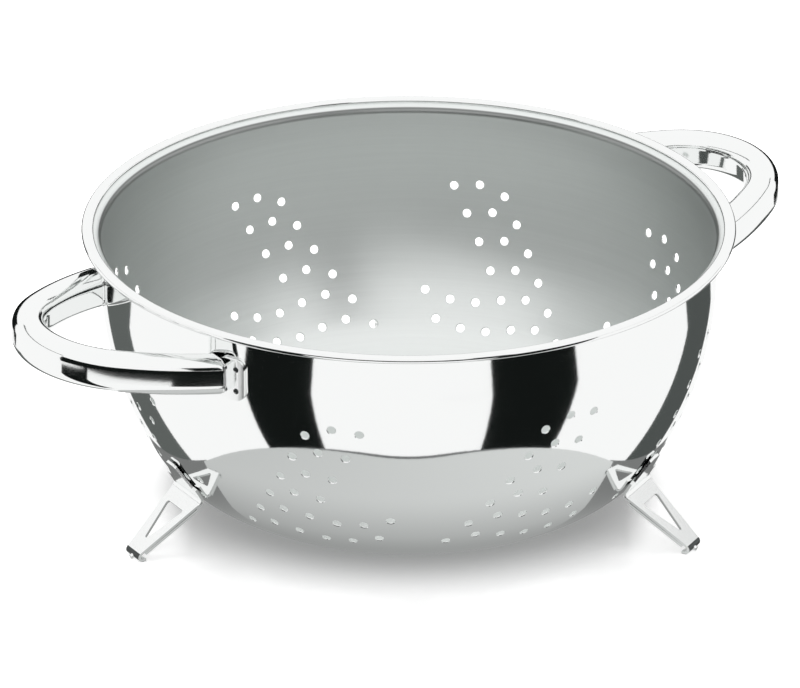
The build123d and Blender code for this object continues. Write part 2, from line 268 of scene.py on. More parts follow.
def smooth(piece, limit=50, flats=True):
    """Smooth shading up to an edge angle in degrees, with the large faces kept flat."""
    take(piece)
    bpy.ops.object.shade_smooth_by_angle(angle=radians(limit))
    if flats:
        apply_modifier(piece, "WEIGHTED_NORMAL", mode="FACE_AREA", weight=90, keep_sharp=True)


def remove(piece):
    """Take a helper and its mesh out of the file."""
    mesh = piece.data
    bpy.data.objects.remove(piece)
    bpy.data.meshes.remove(mesh)


def finish_piece(piece, node, slot_name, *materials):
    """Give a finished piece its materials, its body, and the node it stands for."""
    piece.name = node + "_finished"
    piece.data.name = piece.name
    for name in materials:
        piece.data.materials.append(bpy.data.materials[name])
    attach(piece, "root")
    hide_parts(node)


# Bowl


def wall_point(size, down):
    """Radius, height and slope of the outer face, that far down along the sheet."""
    centre = size.wall_radius - size.side_radius
    side_length = size.side_radius * size.side_turn
    along = down - size.straight_depth
    if along <= 0:
        return size.wall_radius, RIM_HEIGHT - down, 0.0
    if along <= side_length:
        turn = along / size.side_radius
        radius = centre + size.side_radius * cos(turn)
        return radius, RIM_HEIGHT - size.straight_depth - size.side_radius * sin(turn), turn
    corner, height = corner_centre(size)
    turn = size.side_turn + (along - side_length) / size.corner_radius
    return corner + size.corner_radius * cos(turn), height - size.corner_radius * sin(turn), turn


def on_base(place, size):
    """Whether a place lies on the flat base."""
    return hypot(place.x, place.y) < size.rim_radius / 3


def corner_centre(size):
    """Radius and height of the centre of the arc between side and base."""
    seat = size.wall_radius - size.side_radius + size.side_radius * cos(size.side_turn)
    return seat - size.corner_radius * cos(size.side_turn), BASE_HEIGHT + size.corner_radius


def draw_bowl(size):
    """Closed section of the bowl, spun round the axis."""
    sheet = size.sheet
    low = RIM_HEIGHT - BEAD_HEIGHT / 2
    high = RIM_HEIGHT + BEAD_HEIGHT / 2
    corner = corner_centre(size)
    side = (size.wall_radius - size.side_radius, RIM_HEIGHT - size.straight_depth)
    inside = size.wall_radius - sheet
    flare = (inside + size.flare_radius, low + sheet - size.flare_radius)
    bead_inner = size.rim_radius - size.bead_width
    bead_corner = size.bead_corner
    outer_corner = size.rim_radius - bead_corner
    inner_corner = bead_inner + bead_corner
    slit_inner = bead_inner + 2 * sheet + size.slit / 2
    slit_outer = slit_inner + size.slit
    slit_top = low + size.slit
    corner_turn = pi / 2 - size.side_turn
    meets_bead = acos((flare[0] - bead_inner) / size.flare_radius)
    side_steps = 22
    corner_steps = 22
    flare_steps = 7
    inner_flare_steps = 8
    bead_steps = 5
    moves = [
        (corner[0], BASE_HEIGHT),
        (corner, corner_turn, corner_steps),
        (side, size.side_turn, side_steps),
        (size.wall_radius, flare[1]),
        (flare, -pi / 2, flare_steps),
        (slit_inner, low),
        (slit_inner, slit_top),
        (slit_outer, slit_top),
        (slit_outer, low),
        (outer_corner, low),
        ((outer_corner, low + bead_corner), pi / 2, bead_steps),
        (size.rim_radius, high - bead_corner),
        ((outer_corner, high - bead_corner), pi / 2, bead_steps),
        (inner_corner, high),
        ((inner_corner, high - bead_corner), pi / 2, bead_steps),
        (bead_inner, flare[1] + size.flare_radius * sin(meets_bead)),
        (flare, meets_bead, inner_flare_steps),
        (inside, side[1]),
        (side, -size.side_turn, side_steps),
        (corner, -corner_turn, corner_steps),
        (0, BASE_HEIGHT + sheet),
    ]
    piece = draw_line("bowl_section", (0, BASE_HEIGHT), moves)
    bpy.ops.mesh.select_all(action="SELECT")
    bpy.ops.mesh.spin(steps=size.steps, angle=2 * pi, center=ORIGIN, axis=UP)
    bpy.ops.mesh.select_all(action="SELECT")
    bpy.ops.mesh.remove_doubles(threshold=JOIN_DISTANCE)
    bpy.ops.mesh.normals_make_consistent(inside=False)
    object_mode()
    return piece


def hole_places(size, bowl):
    """Azimuth, and distance down along the wall, of every punched hole."""
    # How far each column starts below the middle one, in rows. Only long rows go past column 1
    drops = {-1: 0.3, 0: 0.0, 1: 0.14, 2: 0.32, 3: 0.25, 4: -0.09}
    places = []
    for group in range(size.groups):
        for row in range(size.rows):
            long_row = row >= size.rows - size.long_rows
            for column, drop in drops.items():
                if abs(column) > 1 and not long_row:
                    continue
                twist = size.row_twist * column * (row - (size.rows - 1) / 2)
                down = size.first_row + (row + drop + twist) * size.row_pitch
                sideways = column * size.column_pitch - row * size.row_lean
                turn = size.group_turn + group * 2 * pi / size.groups
                places.append((turn + sideways / wall_point(bowl, down)[0], down))
    return places


def draw_punch(size, bowl):
    """Cutter for one hole, along Z, with a softened edge on both faces of the sheet."""
    reach = 0.001
    clear_selection()
    bpy.ops.mesh.primitive_circle_add(vertices=size.sides, radius=size.radius + size.edge + reach,
                                      fill_type="NGON")
    punch = bpy.context.object
    edit(punch)
    bpy.ops.transform.translate(value=(0, 0, reach))
    levels = ((-size.edge, size.radius), (size.edge - bowl.sheet, size.radius),
              (-bowl.sheet - reach, size.radius + size.edge + reach))
    here = reach
    now = size.radius + size.edge + reach
    for level, radius in levels:
        bpy.ops.mesh.extrude_region_move(TRANSFORM_OT_translate={"value": (0, 0, level - here)})
        bpy.ops.transform.resize(value=(radius / now, radius / now, 1))
        here = level
        now = radius
    bpy.ops.mesh.select_all(action="SELECT")
    bpy.ops.mesh.normals_make_consistent(inside=False)
    object_mode()
    return punch


def punch_holes(piece, size, bowl):
    """Cut every hole, and keep the wall's own smooth shading round them."""
    punch = draw_punch(size, bowl)
    punches = []
    for turn, down in hole_places(size, bowl):
        radius, height, slope = wall_point(bowl, down)
        one = copy_of(punch, "punch")
        place = Matrix.Rotation(turn, 4, "Z") @ Matrix.Translation((radius, 0, height))
        one.matrix_world = place @ Matrix.Rotation(pi / 2 + slope, 4, "Y")
        punches.append(one)
    clear_selection()
    for one in punches:
        one.select_set(True)
    bpy.context.view_layer.objects.active = punches[0]
    bpy.ops.object.transform_apply(location=True, rotation=True, scale=True)
    bpy.ops.object.join()
    cutter = bpy.context.object
    uncut = copy_of(piece, "bowl_uncut")
    apply_modifier(piece, "BOOLEAN", operation="DIFFERENCE", solver="EXACT", object=cutter)
    keep_wall_shading(piece, uncut, bowl)
    for helper in (punch, cutter, uncut):
        remove(helper)


def wall_normal(place, size):
    """Outward direction of the wall's outer face next to a place."""
    radius = hypot(place.x, place.y)
    height = place.z
    corner = corner_centre(size)
    side = (size.wall_radius - size.side_radius, RIM_HEIGHT - size.straight_depth)
    if height >= side[1]:
        out, up = 1.0, 0.0
    else:
        turn = atan2(height - side[1], radius - side[0])
        centre = side if turn > -size.side_turn else corner
        out, up = radius - centre[0], height - centre[1]
    if radius < corner[0] and height < corner[1]:
        out, up = 0.0, -1.0
    return Vector((place.x / radius * out, place.y / radius * out, up)).normalized()


def keep_wall_shading(piece, uncut, size):
    """Take the wall's normals from the bowl before it was punched."""
    top = RIM_HEIGHT - 4 * BEAD_HEIGHT
    along_wall = 0.94

    def hole_side(face):
        if face.center.z > top or on_base(face.center, size):
            return False
        return abs(face.normal.dot(wall_normal(face.center, size))) < along_wall

    def wall(face):
        return face.center.z < top and not hole_side(face)

    pick_faces(piece, hole_side)
    bpy.ops.mesh.split()
    pick_faces(piece, wall)
    bpy.ops.object.vertex_group_add()
    bpy.ops.object.vertex_group_assign()
    object_mode()
    group = piece.vertex_groups[0].name
    apply_modifier(piece, "DATA_TRANSFER", object=uncut, use_loop_data=True,
                   data_types_loops={"CUSTOM_NORMAL"}, loop_mapping="POLYINTERP_NEAREST",
                   vertex_group=group)
    edit(piece)
    bpy.ops.mesh.remove_doubles(threshold=JOIN_DISTANCE, use_sharp_edge_from_normals=True)
    object_mode()
    piece.vertex_groups.clear()


def paint_bowl(piece, size):
    """Inner wall in the second material, the rest in the first."""
    flare_low = RIM_HEIGHT - BEAD_HEIGHT / 2 + size.sheet - size.flare_radius
    bead_inner = size.rim_radius - size.bead_width
    facing_in = -0.5
    for face in piece.data.polygons:
        centre = face.center
        radius = hypot(centre.x, centre.y)
        if centre.z > flare_low:
            inwards = face.normal.x * centre.x + face.normal.y * centre.y < 0
            inner = inwards and radius < bead_inner and face.normal.z > 0
            inner = inner or (inwards and radius < size.wall_radius)
        elif on_base(centre, size):
            inner = centre.z > BASE_HEIGHT + size.sheet / 2
        else:
            inner = face.normal.dot(wall_normal(centre, size)) < facing_in
        face.material_index = 1 if inner else 0


# Handles


def draw_half_loop(size):
    """Half of the loop as a sheet: the tube's section swept from the tip, and cut at its end."""
    corner_steps = 9
    tip_steps = 28
    shoulder_steps = 16
    clear_selection()
    bpy.ops.mesh.primitive_plane_add(size=1)
    piece = bpy.context.object
    edit(piece)
    bpy.ops.transform.resize(value=(size.width, size.height, 1))
    bpy.ops.mesh.bevel(affect="VERTICES", offset=size.corner, segments=corner_steps)
    bpy.ops.mesh.delete(type="ONLY_FACE")
    bpy.ops.mesh.select_all(action="SELECT")
    bpy.ops.transform.rotate(value=pi / 2, orient_axis="X", center_override=ORIGIN)
    bpy.ops.transform.translate(value=(size.reach, 0, 0))
    tip_centre = Vector((size.reach - size.tip_radius, 0, 0))
    bpy.ops.mesh.spin(steps=tip_steps, angle=-size.tip_turn, center=tip_centre, axis=UP)
    back = size.tip_radius - size.shoulder_radius
    shoulder_centre = tip_centre + back * Vector((cos(size.tip_turn), sin(size.tip_turn), 0))
    bpy.ops.mesh.spin(steps=shoulder_steps, angle=-size.shoulder_turn, center=shoulder_centre,
                      axis=UP)
    heading = pi / 2 + size.tip_turn + size.shoulder_turn
    leg = 3 * size.width * Vector((cos(heading), sin(heading), 0))
    bpy.ops.mesh.extrude_region_move(TRANSFORM_OT_translate={"value": leg})
    bpy.ops.mesh.select_all(action="SELECT")
    bpy.ops.transform.translate(value=(0, 0, RIM_HEIGHT - size.drop))
    tip = Vector((size.reach, 0, RIM_HEIGHT - size.drop))
    bpy.ops.transform.rotate(value=size.rise, orient_axis="Y", center_override=tip)
    end = Vector((size.end_x, size.end_y, tip.z))
    out = Vector((cos(size.end_heading), sin(size.end_heading), 0))
    bpy.ops.mesh.bisect(plane_co=end, plane_no=out, clear_outer=True, use_fill=False)
    object_mode()
    return piece


def draw_handle(size):
    """The whole loop of the right handle as a closed wall of sheet."""
    piece = draw_half_loop(size)
    apply_modifier(piece, "MIRROR", use_axis=(False, True, False), use_mirror_merge=True,
                   merge_threshold=10 * JOIN_DISTANCE)
    edit(piece)
    bpy.ops.mesh.remove_doubles(threshold=JOIN_DISTANCE)
    bpy.ops.mesh.normals_make_consistent(inside=False)
    bpy.ops.transform.rotate(value=-size.turn, orient_axis="Z", center_override=ORIGIN)
    object_mode()
    middle = RIM_HEIGHT - size.drop
    outwards = sum(face.normal.z * (face.center.z - middle) for face in piece.data.polygons)
    if outwards < 0:
        edit(piece)
        bpy.ops.mesh.flip_normals()
        object_mode()
    return piece


def close_tube(piece, size):
    """Give the loop its wall and soften the cut edges."""
    apply_modifier(piece, "SOLIDIFY", thickness=size.wall, offset=-1, use_rim=True,
                   use_even_offset=True)
    apply_modifier(piece, "BEVEL", width=size.edge, segments=2, limit_method="ANGLE",
                   angle_limit=radians(40))
    smooth(piece)


# Brackets and feet


def softened_copy(node, edge):
    """A merged copy of a folded sheet, with its cut edges rounded over."""
    piece = copy_of(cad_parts[node], node + "_copy")
    piece.data.materials.clear()
    for name in list(piece.keys()):
        del piece[name]
    piece.parent = None
    edit(piece)
    bpy.ops.mesh.remove_doubles(threshold=JOIN_DISTANCE)
    bpy.ops.mesh.dissolve_limited(angle_limit=radians(0.5))
    object_mode()
    apply_modifier(piece, "BEVEL", width=edge, segments=2, limit_method="ANGLE",
                   angle_limit=radians(35))
    return piece


def stamp_welds(piece, node, size, lean):
    """Sink the two round dimples that spot welds leave in a tab, with lean the handles' turn."""
    turn = size.weld_turn if node.endswith("rear") else -size.weld_turn
    turn += lean
    if "left" in node:
        turn = pi - turn
    away = size.tab_face + size.dimple_radius - size.dimple_depth
    for side in (-1, 1):
        height = size.weld_height + side * size.weld_spacing / 2
        clear_selection()
        bpy.ops.mesh.primitive_uv_sphere_add(segments=24, ring_count=12, radius=size.dimple_radius,
                                             location=(away * cos(turn), away * sin(turn), height))
        ball = bpy.context.object
        apply_modifier(piece, "BOOLEAN", operation="DIFFERENCE", solver="EXACT", object=ball)
        remove(ball)


# Finishes

# Tone of the satin inside against its height, as a share of its colour, with light and shade painted
# in.
# A painted highlight makes it lighter near the base, and the flare under the rim has a painted shade
# line below a painted
# highlight band: pairs of the share of the way up the flare and the tone there
BASE_FADE = (0.028, 0.056)
BASE_PAINTED_HIGHLIGHT = (1.28, 1.0)
FLARE_SPAN = (0.100, 0.106)
FLARE_PAINTED_SHADE_AND_HIGHLIGHT = ((0.0, 1.0), (0.333, 1.04), (0.467, 0.62), (0.6, 0.54), (0.658, 0.35), (0.70, 0.44),
               (0.75, 1.32), (1.0, 1.32))
SATIN_SPREAD = 0.03


def new_group(name, inputs, outputs):
    """A shader node group with named inputs and outputs."""
    group = bpy.data.node_groups.new(name, "ShaderNodeTree")
    for label, kind, default in inputs:
        socket = group.interface.new_socket(label, in_out="INPUT", socket_type=kind)
        if default is not None:
            socket.default_value = default
    for label, kind in outputs:
        group.interface.new_socket(label, in_out="OUTPUT", socket_type=kind)
    entry = group.nodes.new("NodeGroupInput")
    leave = group.nodes.new("NodeGroupOutput")
    return group, entry.outputs, leave.inputs


def add_node(tree, kind, links=(), **values):
    """A node with its values set and its inputs linked by name."""
    node = tree.nodes.new(kind)
    for name, value in values.items():
        setattr(node, name, value)
    for name, source in links:
        if isinstance(source, bpy.types.NodeSocket):
            tree.links.new(source, node.inputs[name])
        else:
            node.inputs[name].default_value = source
    return node


def maths(tree, operation, *terms):
    """A math node's value, from up to three terms."""
    return add_node(tree, "ShaderNodeMath", enumerate(terms), operation=operation).outputs[0]


def carry(tree, value, before, after, curve="LINEAR"):
    """A value carried over from one range to another."""
    links = [("Value", value), ("From Min", before[0]), ("From Max", before[1]),
             ("To Min", after[0]), ("To Max", after[1])]
    return add_node(tree, "ShaderNodeMapRange", links, interpolation_type=curve).outputs[0]


def handling_group():
    """Faint smears and hairline scratches of polished steel that has been handled."""
    smear_scale = 28.0
    hair_scale = 900.0
    hair_height = 0.0001
    inputs = [("Vector", "NodeSocketVector", None), ("Roughness", "NodeSocketFloat", 0.05),
              ("Smear", "NodeSocketFloat", 0.03), ("Scratch", "NodeSocketFloat", 0.02)]
    outputs = [("Roughness", "NodeSocketFloat"), ("Normal", "NodeSocketVector")]
    group, given, result = new_group("handled polish", inputs, outputs)
    smear = add_node(group, "ShaderNodeTexNoise", [("Vector", given["Vector"]), ("Scale", smear_scale),
                                                   ("Detail", 4.0), ("Roughness", 0.6)])
    hairs = add_node(group, "ShaderNodeTexNoise", [("Vector", given["Vector"]), ("Scale", hair_scale),
                                                   ("Detail", 2.0)])
    smeared = maths(group, "MULTIPLY", smear.outputs["Fac"], given["Smear"])
    rough = maths(group, "ADD", smeared, given["Roughness"])
    group.links.new(rough, result["Roughness"])
    bump = add_node(group, "ShaderNodeBump", [("Strength", given["Scratch"]), ("Distance", hair_height),
                                              ("Height", hairs.outputs["Fac"])])
    group.links.new(bump.outputs["Normal"], result["Normal"])
    return group


def ring_group():
    """Fine lines round the axis, left by a polishing wheel on the turning bowl."""
    line_density = 700.0
    around_density = 1.6
    cloud_scale = 22.0
    cloud_share = 0.35
    line_height = 0.0002
    inputs = [("Vector", "NodeSocketVector", None), ("Low", "NodeSocketFloat", 0.3),
              ("High", "NodeSocketFloat", 0.42), ("Depth", "NodeSocketFloat", 0.1),
              ("Dark", "NodeSocketColor", (0.5, 0.5, 0.5, 1)),
              ("Light", "NodeSocketColor", (0.7, 0.7, 0.7, 1))]
    outputs = [("Color", "NodeSocketColor"), ("Roughness", "NodeSocketFloat"),
               ("Normal", "NodeSocketVector")]
    group, given, result = new_group("wheel lines", inputs, outputs)
    parts = add_node(group, "ShaderNodeSeparateXYZ", [("Vector", given["Vector"])])
    flat = add_node(group, "ShaderNodeCombineXYZ", [("X", parts.outputs["X"]),
                                                    ("Y", parts.outputs["Y"])])
    around = add_node(group, "ShaderNodeVectorMath", [(0, flat.outputs[0])], operation="NORMALIZE")
    slow = add_node(group, "ShaderNodeVectorMath", [(0, around.outputs[0]), ("Scale", around_density)],
                    operation="SCALE")
    radius = add_node(group, "ShaderNodeVectorMath", [(0, flat.outputs[0])], operation="LENGTH")
    climb = maths(group, "MULTIPLY", parts.outputs["Z"], line_density)
    lift = add_node(group, "ShaderNodeCombineXYZ", [("Z", climb)])
    place = add_node(group, "ShaderNodeVectorMath", [(0, slow.outputs[0]), (1, lift.outputs[0])],
                     operation="ADD")
    ring = maths(group, "MULTIPLY", radius.outputs["Value"], line_density)
    lines = add_node(group, "ShaderNodeTexNoise", [("Vector", place.outputs[0]), ("W", ring),
                                                   ("Scale", 1.0), ("Detail", 3.0),
                                                   ("Roughness", 0.7)],
                     noise_dimensions="4D")
    clouds = add_node(group, "ShaderNodeTexNoise", [("Vector", given["Vector"]),
                                                    ("Scale", cloud_scale), ("Detail", 3.0)])
    mixed = add_node(group, "ShaderNodeMix", [("Factor", cloud_share), ("A", lines.outputs["Fac"]),
                                              ("B", clouds.outputs["Fac"])]).outputs[0]
    rough = carry(group, mixed, (0.3, 0.7), (given["Low"], given["High"]))
    group.links.new(rough, result["Roughness"])
    tone = carry(group, mixed, (0.35, 0.65), (0, 1))
    tint = add_node(group, "ShaderNodeMix", [("Factor", tone), (6, given["Dark"]),
                                             (7, given["Light"])], data_type="RGBA")
    group.links.new(tint.outputs[2], result["Color"])
    bump = add_node(group, "ShaderNodeBump", [("Strength", given["Depth"]), ("Distance", line_height),
                                              ("Height", lines.outputs["Fac"])])
    group.links.new(bump.outputs["Normal"], result["Normal"])
    return group


def new_material(name):
    """A metal with a Principled shader, and the piece's own coordinates."""
    material = bpy.data.materials.new(name)
    material.use_nodes = True
    tree = material.node_tree
    shader = tree.nodes["Principled BSDF"]
    shader.inputs["Metallic"].default_value = 1
    place = add_node(tree, "ShaderNodeTexCoord").outputs["Object"]
    return tree, shader, place


def polished_material(name, group, tint, roughness, smear, scratch=0.02):
    """Mirror-polished steel."""
    tree, shader, place = new_material(name)
    marks = add_node(tree, "ShaderNodeGroup", node_tree=group)
    tree.links.new(place, marks.inputs["Vector"])
    marks.inputs["Roughness"].default_value = roughness
    marks.inputs["Smear"].default_value = smear
    marks.inputs["Scratch"].default_value = scratch
    tree.links.new(marks.outputs["Roughness"], shader.inputs["Roughness"])
    tree.links.new(marks.outputs["Normal"], shader.inputs["Normal"])
    shader.inputs["Base Color"].default_value = (*tint, 1)


def satin_material(name, group, tint):
    """Brushed steel of the bowl's inside, with painted shade and painted highlights by height."""
    tree, shader, place = new_material(name)
    lines = add_node(tree, "ShaderNodeGroup", node_tree=group)
    tree.links.new(place, lines.inputs["Vector"])
    lines.inputs["Dark"].default_value = (*[(1 - SATIN_SPREAD) * part for part in tint], 1)
    lines.inputs["Light"].default_value = (*[(1 + SATIN_SPREAD) * part for part in tint], 1)
    lines.inputs["Depth"].default_value = 0.04
    height = add_node(tree, "ShaderNodeSeparateXYZ", [("Vector", place)]).outputs["Z"]
    # Painted highlight: the inside is lighter near the base
    low = carry(tree, height, BASE_FADE, BASE_PAINTED_HIGHLIGHT, "SMOOTHSTEP")
    # Painted shade and painted highlight in the flare: a dark line below a bright band
    climb = carry(tree, height, FLARE_SPAN, (0, 1))
    ramp = add_node(tree, "ShaderNodeValToRGB", [("Fac", climb)])
    while len(ramp.color_ramp.elements) < len(FLARE_PAINTED_SHADE_AND_HIGHLIGHT):
        ramp.color_ramp.elements.new(0.5)
    for element, (share_up, tone) in zip(ramp.color_ramp.elements, FLARE_PAINTED_SHADE_AND_HIGHLIGHT):
        element.position = share_up
        # A ramp holds no colour above 1, so it holds half the tone
        element.color = (tone / 2, tone / 2, tone / 2, 1)
    high = maths(tree, "MULTIPLY", ramp.outputs["Color"], 2.0)
    shade = add_node(tree, "ShaderNodeVectorMath", [(0, lines.outputs["Color"])], operation="SCALE")
    tree.links.new(maths(tree, "MULTIPLY", low, high), shade.inputs["Scale"])
    tree.links.new(shade.outputs[0], shader.inputs["Base Color"])
    tree.links.new(lines.outputs["Roughness"], shader.inputs["Roughness"])
    tree.links.new(lines.outputs["Normal"], shader.inputs["Normal"])


def make_finishes(finish):
    """Build every material once, under its own name."""
    handled = handling_group()
    rings = ring_group()
    polished_material("mirror steel", handled, finish.mirror, roughness=0.04, smear=0.03)
    polished_material("tube steel", handled, finish.mirror, roughness=0.05, smear=0.04)
    polished_material("pressed steel", handled, finish.mirror, roughness=0.10, smear=0.06)
    # Painted shade for the weld dimples and the toes' bends
    polished_material("painted shade steel", handled, finish.painted_shade, roughness=0.25, smear=0.10)
    satin_material("satin steel", rings, finish.satin)


def darken(piece, wanted, size):
    """Give the faces that a test picks the piece's second material, the painted shade."""
    for face in piece.data.polygons:
        if wanted(face, size):
            face.material_index = 1


def painted_weld_shade(face, size):
    """Bottom of a spot weld's dimple, below the face of the tab, where shade is painted."""
    lip = 0.0001
    slack = 0.00005
    least_facing = 0.6
    radius = hypot(face.center.x, face.center.y)
    outwards = (face.normal.x * face.center.x + face.normal.y * face.center.y) / radius
    deepest = size.tab_face - size.dimple_depth - slack
    return deepest < radius < size.tab_face - lip and outwards > least_facing


def toe_bend(face, size):
    """Outer side of the bend at a foot's toe, above its nub, where a dark band of shade is painted."""
    slack = 0.0002
    lowest = radians(-20)
    highest = radians(52)
    radius = hypot(face.center.x, face.center.y) - size.toe_place
    height = face.center.z - size.toe_bend
    if abs(hypot(radius, height) - size.toe_bend) > slack or radius < 0:
        return False
    return lowest < atan2(height, radius) < highest


# Stage

# Cards round the bowl: name, first and last direction from the camera, lowest and highest
# elevation, all in degrees, and the card's colour. The black cards draw the two bands on the
# near side, the bands of the left handle's leg and the outline of the handles. The grey ones
# draw the bands at the sides and darken the sides of the inside.
CARD_DISTANCE = 20.0
CARD_COLOURS = {
    "black card": (0.0065, 0.008, 0.0075),
    "grey card": (0.115, 0.125, 0.12),
    "dark grey card": (0.078, 0.086, 0.083),
}
CARDS = (
    ("card_left", -64, -36.3, -75, -16, "black card"),
    ("card_right", 31.2, 65.8, -75, -16, "black card"),
    ("card_leg", 12, 36, -24.4, -16, "black card"),
    ("card_leg_top", 22, 36, 13, 38, "black card"),
    ("card_above", -64, 65.8, -19.6, 14, "black card"),
    ("card_far_left", -155, -128, -75, -23.3, "grey card"),
    ("card_far_right", 128, 155, -75, -22.8, "dark grey card"),
    ("card_behind", 140, 220, -22.0, 8, "black card"),
    ("gap_left", -150, -64, 26, 28.5, "dark grey card"),
    ("gap_right", 65.8, 150, 26, 28.5, "dark grey card"),
)
CARD_TILTS = {"card_above": -6}

# Light board on the floor in front of the bowl, as the lower wall shows it: nearest and farthest
# distance from the bowl's axis towards the camera, width, share of the width left at the back,
# and rounding of the front. Its dark edge is the same board, a little nearer and narrower
BOARD_NEAR = 0.1665
BOARD_FAR = 0.0565
BOARD_WIDTH = 0.252
BOARD_TAPER = 0.88
BOARD_ROUND = 0.098
EDGE_SHIFT = 0.0035
EDGE_TRIM = 0.004


def glowing_material(name, tint):
    """A reflected card or floor patch of a plain colour."""
    material = bpy.data.materials.new(name)
    material.use_nodes = True
    tree = material.node_tree
    tree.nodes.clear()
    glow = add_node(tree, "ShaderNodeEmission", [("Color", (*tint, 1)), ("Strength", 1.0)])
    leave = add_node(tree, "ShaderNodeOutputMaterial")
    tree.links.new(glow.outputs[0], leave.inputs["Surface"])
    return material


def only_reflected(card):
    """Seen in the steel, and by nothing else."""
    card.visible_camera = False
    card.visible_diffuse = False
    card.visible_transmission = False
    card.visible_volume_scatter = False
    card.visible_shadow = False


def add_card(name, size, first, last, low, high, material):
    """Upright curved card round the bowl, between two directions seen from the camera's side."""
    far = CARD_DISTANCE
    clear_selection()
    bpy.ops.mesh.primitive_plane_add(size=0.001)
    card = bpy.context.object
    card.name = name
    bpy.ops.object.mode_set(mode="EDIT")
    bpy.ops.mesh.merge(type="CENTER")
    start = size.camera_azimuth + radians(first)
    foot = (far * cos(start), far * sin(start), far * tan(radians(low)))
    bpy.ops.transform.translate(value=foot)
    rise = far * (tan(radians(high)) - tan(radians(low)))
    bpy.ops.mesh.extrude_region_move(TRANSFORM_OT_translate={"value": (0, 0, rise)})
    bpy.ops.mesh.select_all(action="SELECT")
    bpy.ops.mesh.spin(steps=16, angle=-radians(last - first), center=ORIGIN, axis=UP)
    object_mode()
    card.data.materials.append(material)
    only_reflected(card)
    return card


def make_cards(size):
    """Dark cards that draw the bands in the polished steel."""
    materials = {name: glowing_material(name, tint) for name, tint in CARD_COLOURS.items()}
    to_camera = Vector((cos(size.camera_azimuth), sin(size.camera_azimuth), 0))
    for name, first, last, low, high, colour_name in CARDS:
        card = add_card(name, size, first, last, low, high, materials[colour_name])
        if name in CARD_TILTS:
            card.matrix_world = Matrix.Rotation(radians(CARD_TILTS[name]), 4, to_camera)


def floor_material(size):
    """White outside the shadow for the camera, and plain for every other ray."""
    shadow_stretch = 1.33
    side_start = 0.060
    side_gain = 2.0
    shadow_edge = (0.058, 0.098)
    glow_levels = (0.10, 0.62)
    material = bpy.data.materials.new("white floor")
    material.use_nodes = True
    tree = material.node_tree
    shader = tree.nodes["Principled BSDF"]
    shader.inputs["Base Color"].default_value = (0.86, 0.86, 0.86, 1)
    shader.inputs["Roughness"].default_value = 1
    shader.inputs["Specular IOR Level"].default_value = 0
    seen = add_node(tree, "ShaderNodeLightPath")
    place = add_node(tree, "ShaderNodeTexCoord").outputs["Object"]
    turned = add_node(tree, "ShaderNodeMapping", [("Vector", place), ("Scale", (1, shadow_stretch, 1)),
                                                  ("Rotation", (0, 0, size.camera_azimuth))],
                      vector_type="TEXTURE").outputs[0]
    away = add_node(tree, "ShaderNodeVectorMath", [(0, turned)], operation="LENGTH").outputs["Value"]
    aside = add_node(tree, "ShaderNodeSeparateXYZ", [("Vector", turned)]).outputs["Y"]
    aside = maths(tree, "SUBTRACT", maths(tree, "ABSOLUTE", aside), side_start)
    aside = maths(tree, "MULTIPLY", maths(tree, "MAXIMUM", aside, 0.0), side_gain)
    away = maths(tree, "ADD", away, aside)
    lift = carry(tree, away, shadow_edge, glow_levels, "SMOOTHSTEP")
    level = maths(tree, "MULTIPLY", seen.outputs["Is Camera Ray"], lift)
    glow = add_node(tree, "ShaderNodeEmission", [("Strength", level)])
    both = add_node(tree, "ShaderNodeAddShader", [(0, shader.outputs[0]), (1, glow.outputs[0])])
    tree.links.new(both.outputs[0], tree.nodes["Material Output"].inputs["Surface"])
    return material


def board_material():
    """Light board with the bowl's shadow painted in, darker towards the bowl, and darker towards one
    side.
    """
    shade_edge = (0.075, 0.128)
    shade_levels = (0.35, 0.66)
    side_gain = 0.9
    middle_level = 0.97
    material = glowing_material("reflected board", (0.98, 1.0, 0.99))
    tree = material.node_tree
    place = add_node(tree, "ShaderNodeTexCoord").outputs["Object"]
    aside = add_node(tree, "ShaderNodeSeparateXYZ", [("Vector", place)]).outputs["Y"]
    away = add_node(tree, "ShaderNodeVectorMath", [(0, place)], operation="LENGTH").outputs["Value"]
    # Painted shadow of the bowl: the glow fades towards the bowl
    shade = carry(tree, away, shade_edge, shade_levels, "SMOOTHSTEP")
    lean = maths(tree, "MULTIPLY_ADD", aside, side_gain, middle_level)
    tree.links.new(maths(tree, "MULTIPLY", shade, lean), tree.nodes["Emission"].inputs["Strength"])
    return material


def shadow_material():
    """Shaded floor under the bowl, darkest at both sides."""
    side_span = (0.050, 0.100)
    side_levels = (0.34, 0.20)
    material = glowing_material("reflected shadow", (0.98, 1.0, 0.99))
    tree = material.node_tree
    place = add_node(tree, "ShaderNodeTexCoord").outputs["Object"]
    aside = add_node(tree, "ShaderNodeSeparateXYZ", [("Vector", place)]).outputs["Y"]
    shade = carry(tree, maths(tree, "ABSOLUTE", aside), side_span, side_levels, "SMOOTHSTEP")
    tree.links.new(shade, tree.nodes["Emission"].inputs["Strength"])
    return material


def draw_patch(name, near, far, width, height):
    """Rectangle a little above the floor, with X towards the camera, left in edit mode."""
    clear_selection()
    bpy.ops.mesh.primitive_plane_add(size=1)
    patch = bpy.context.object
    patch.name = name
    edit(patch)
    bpy.ops.transform.resize(value=(near - far, width, 1))
    bpy.ops.transform.translate(value=((near + far) / 2, 0, height))
    return patch


def lay_patch(patch, size, material):
    """Turn a finished patch towards the camera, for the steel alone."""
    object_mode()
    patch.rotation_euler = (0, 0, size.camera_azimuth)
    patch.data.materials.append(material)
    only_reflected(patch)


